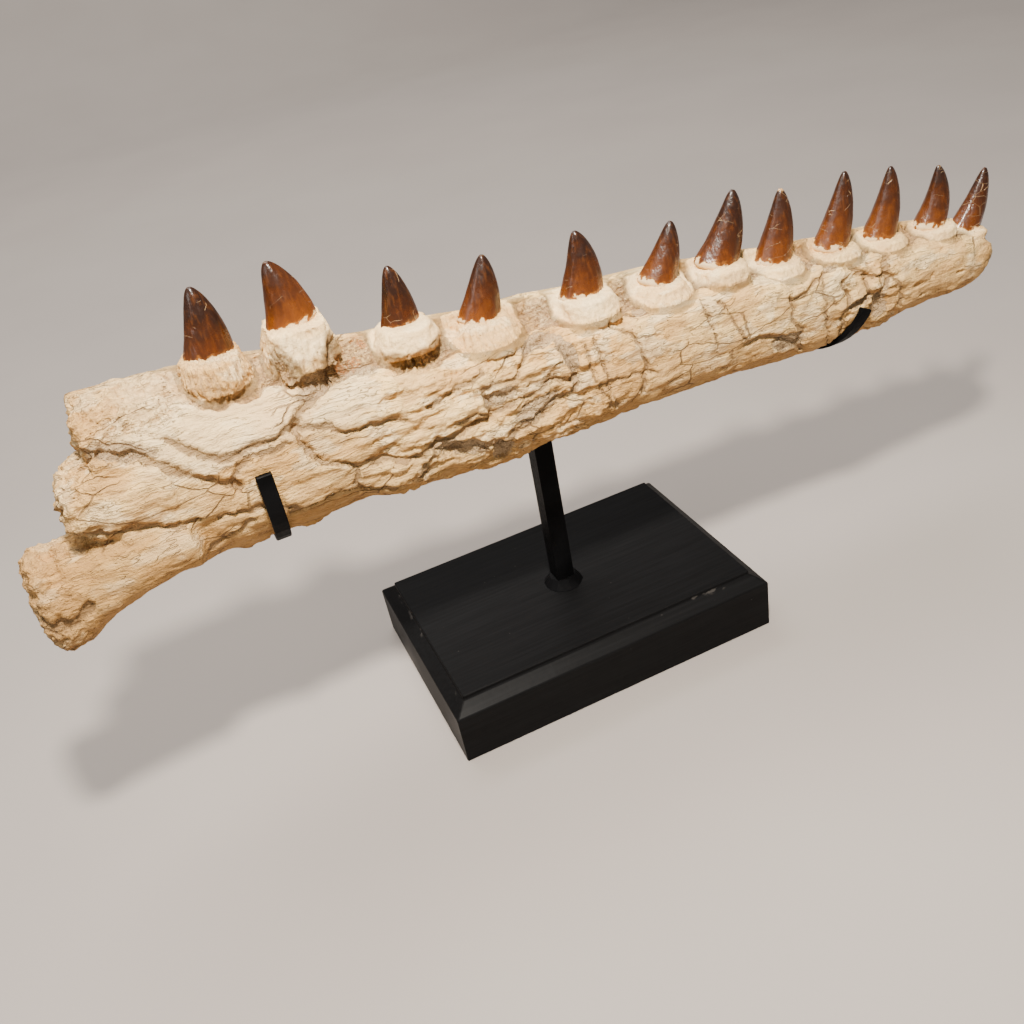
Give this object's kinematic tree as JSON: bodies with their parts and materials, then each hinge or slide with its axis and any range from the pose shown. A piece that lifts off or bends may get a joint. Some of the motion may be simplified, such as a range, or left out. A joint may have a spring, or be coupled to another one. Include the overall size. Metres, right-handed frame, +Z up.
{
  "type": "fossil mosasaur jaw on a stand",
  "caption": "Fossil lower jaw bone with recurved tooth crowns on bony pedestals, held by two strap clips on a rail and post over a flat painted board.",
  "frame": {"origin": "centre of the board's underside, where the stand rests", "axes": "+Z up, +X along the jaw towards its tip, -Y the side that is shown"},
  "size_m": [0.5927, 0.15, 0.315],
  "materials": {
    "fossil_bone": "cream to ochre fibrous fossil bone, matt, with grey-brown matrix in its cracks",
    "tooth_enamel": "glossy amber-brown enamel, darker to the tips, with pale hairline cracks",
    "painted_wood": "satin black paint with a faint grain",
    "black_steel": "satin black paint on steel"
  },
  "bodies": {
    "root": {"jaw_bone": "fossil_bone", "tooth_crown_01": "tooth_enamel", "tooth_crown_02": "tooth_enamel", "tooth_crown_03": "tooth_enamel", "tooth_crown_04": "tooth_enamel", "tooth_crown_05": "tooth_enamel", "tooth_crown_06": "tooth_enamel", "tooth_crown_07": "tooth_enamel", "tooth_crown_08": "tooth_enamel", "tooth_crown_09": "tooth_enamel", "tooth_crown_10": "tooth_enamel", "tooth_crown_11": "tooth_enamel", "tooth_crown_12": "tooth_enamel", "base_board": "painted_wood", "post": "black_steel", "rail": "black_steel", "clip_left": "black_steel", "clip_right": "black_steel"}
  },
  "joints": []
}
